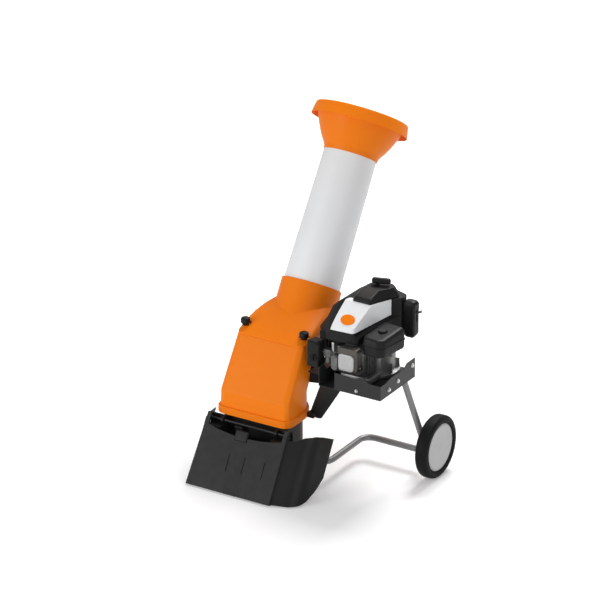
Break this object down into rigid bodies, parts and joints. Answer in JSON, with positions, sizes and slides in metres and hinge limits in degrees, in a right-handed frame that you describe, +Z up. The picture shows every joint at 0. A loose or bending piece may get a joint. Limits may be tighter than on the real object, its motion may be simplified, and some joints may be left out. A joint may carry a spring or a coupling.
{
  "type": "petrol garden shredder",
  "caption": "Petrol garden shredder with a leaning feed tube and round funnel, an orange cutter housing, a black deflector flap and an engine on a wheeled tube frame.",
  "frame": {"origin": "centre of the bounding box on the floor: the wheels and the rubber feet stand on z = 0", "axes": "+X to the right wheel and the engine, +Y to the rear, where the funnel leans, +Z up; the deflector flap faces -Y"},
  "size_m": [0.89, 1.1272, 1.3102],
  "materials": {
    "orange_plastic": "smooth moulded orange plastic with a soft gloss",
    "black_plastic": "fine-grained black moulded plastic",
    "black_steel": "black powder-coated sheet steel",
    "rubber": "plain black rubber",
    "tyre": "plain solid black rubber tyre",
    "grey_paint": "grey painted steel tube",
    "cast_aluminium": "sand-grey die-cast aluminium",
    "bare_steel": "bare drawn or pressed steel",
    "white_plastic": "smooth white plastic",
    "light_grey_plastic": "light grey moulded plastic"
  },
  "bodies": {
    "machine": {"air_cleaner_base": "black_plastic", "air_cleaner_cover": "black_plastic", "belt_guard": "black_plastic", "blower_housing": "black_plastic", "carburettor": "cast_aluminium", "chamber_floor": "black_steel", "control_box": "black_plastic", "cowl_badge": "orange_plastic", "crankcase": "cast_aluminium", "cutter_housing": "orange_plastic", "cylinder": "cast_aluminium", "cylinder_head": "cast_aluminium", "deck_gusset": "black_steel", "discharge_base": "black_plastic", "engine_deck": "black_steel", "flap_rod": "bare_steel", "fuel_tank": "black_plastic", "hopper_hinge_pin": "bare_steel", "left_axle": "bare_steel", "left_chassis_tube": "grey_paint", "left_foot": "rubber", "muffler": "bare_steel", "muffler_shield": "bare_steel", "recoil_cover": "black_plastic", "right_axle": "bare_steel", "right_chassis_tube": "grey_paint", "right_foot": "rubber", "rocker_cover": "cast_aluminium", "shaft_bearing": "bare_steel", "spark_plug_boot": "bare_steel", "top_cowl": "white_plastic", "v_belt": "rubber"},
    "right_wheel": {"right_tyre": "tyre", "right_hub": "light_grey_plastic", "right_hub_cover": "light_grey_plastic"},
    "left_wheel": {"left_tyre": "tyre", "left_hub": "light_grey_plastic", "left_hub_cover": "light_grey_plastic"},
    "hopper": {"hopper_base": "orange_plastic", "feed_tube": "white_plastic", "funnel": "orange_plastic"},
    "right_knob": {"right_screw_knob": "black_plastic"},
    "left_knob": {"left_screw_knob": "black_plastic"},
    "flap": {"deflector_flap": "black_plastic"},
    "crank": {"crankshaft": "bare_steel", "flywheel": "cast_aluminium", "drive_pulley": "cast_aluminium"},
    "knife_rotor": {"knife_shaft": "bare_steel", "knife_disc": "black_steel", "knife_1": "bare_steel", "knife_2": "bare_steel", "disc_nut": "bare_steel", "driven_pulley": "cast_aluminium"},
    "starter": {"starter_handle": "black_plastic"},
    "tank_cap": {"fuel_cap": "black_plastic"},
    "dipstick": {"oil_dipstick": "black_plastic"},
    "cleaner_knob": {"air_cleaner_knob": "black_plastic"},
    "throttle_lever": {"control_lever": "bare_steel"}
  },
  "joints": [
    {"name": "right_wheel_spin", "type": "hinge", "parent": "machine", "child": "right_wheel", "pos_m": [0.445, 0, 0.125], "axis": [1, 0, 0], "continuous": true},
    {"name": "left_wheel_spin", "type": "hinge", "parent": "machine", "child": "left_wheel", "pos_m": [-0.445, 0, 0.125], "axis": [1, 0, 0], "continuous": true},
    {"name": "hopper_tilt", "type": "hinge", "parent": "machine", "child": "hopper", "pos_m": [-0.168, -0.007, 0.518], "axis": [-1, 0, 0], "range_deg": [0, 60]},
    {"name": "right_knob_turn", "type": "hinge", "parent": "hopper", "child": "right_knob", "pos_m": [-0.037, -0.218, 0.5453], "axis": [0, 0, 1], "range_deg": [0, 340]},
    {"name": "left_knob_turn", "type": "hinge", "parent": "hopper", "child": "left_knob", "pos_m": [-0.299, -0.218, 0.5453], "axis": [0, 0, 1], "range_deg": [0, 340]},
    {"name": "flap_swing", "type": "hinge", "parent": "machine", "child": "flap", "pos_m": [-0.168, -0.402, 0.226], "axis": [-1, 0, 0], "range_deg": [0, 75]},
    {"name": "crank_spin", "type": "hinge", "parent": "machine", "child": "crank", "pos_m": [0.2, -0.091, 0.398], "axis": [0, 0, 1], "continuous": true},
    {"name": "knife_spin", "type": "hinge", "parent": "machine", "child": "knife_rotor", "pos_m": [-0.168, -0.19, 0.4513], "axis": [0, 0, 1], "continuous": true},
    {"name": "starter_pull", "type": "slide", "parent": "machine", "child": "starter", "axis": [0, 0, 1], "range_m": [0, 0.45], "stiffness_N_per_m": 20, "springref_m": -0.25},
    {"name": "fuel_cap_turn", "type": "hinge", "parent": "machine", "child": "tank_cap", "pos_m": [0.3, -0.205, 0.6506], "axis": [0, 0, 1], "range_deg": [0, 180]},
    {"name": "dipstick_turn", "type": "hinge", "parent": "machine", "child": "dipstick", "pos_m": [0.118, -0.039, 0.5233], "axis": [0, 0, 1], "range_deg": [0, 270]},
    {"name": "cleaner_knob_turn", "type": "hinge", "parent": "machine", "child": "cleaner_knob", "pos_m": [0.049, -0.291, 0.5238], "axis": [0, -1, 0], "range_deg": [0, 270]},
    {"name": "throttle_swing", "type": "hinge", "parent": "machine", "child": "throttle_lever", "pos_m": [0.334, -0.035, 0.6683], "axis": [0, 1, 0], "range_deg": [0, 40]}
  ],
  "couplings": [
    {"joint": "knife_spin", "follows": "crank_spin", "ratio": 0.8}
  ]
}
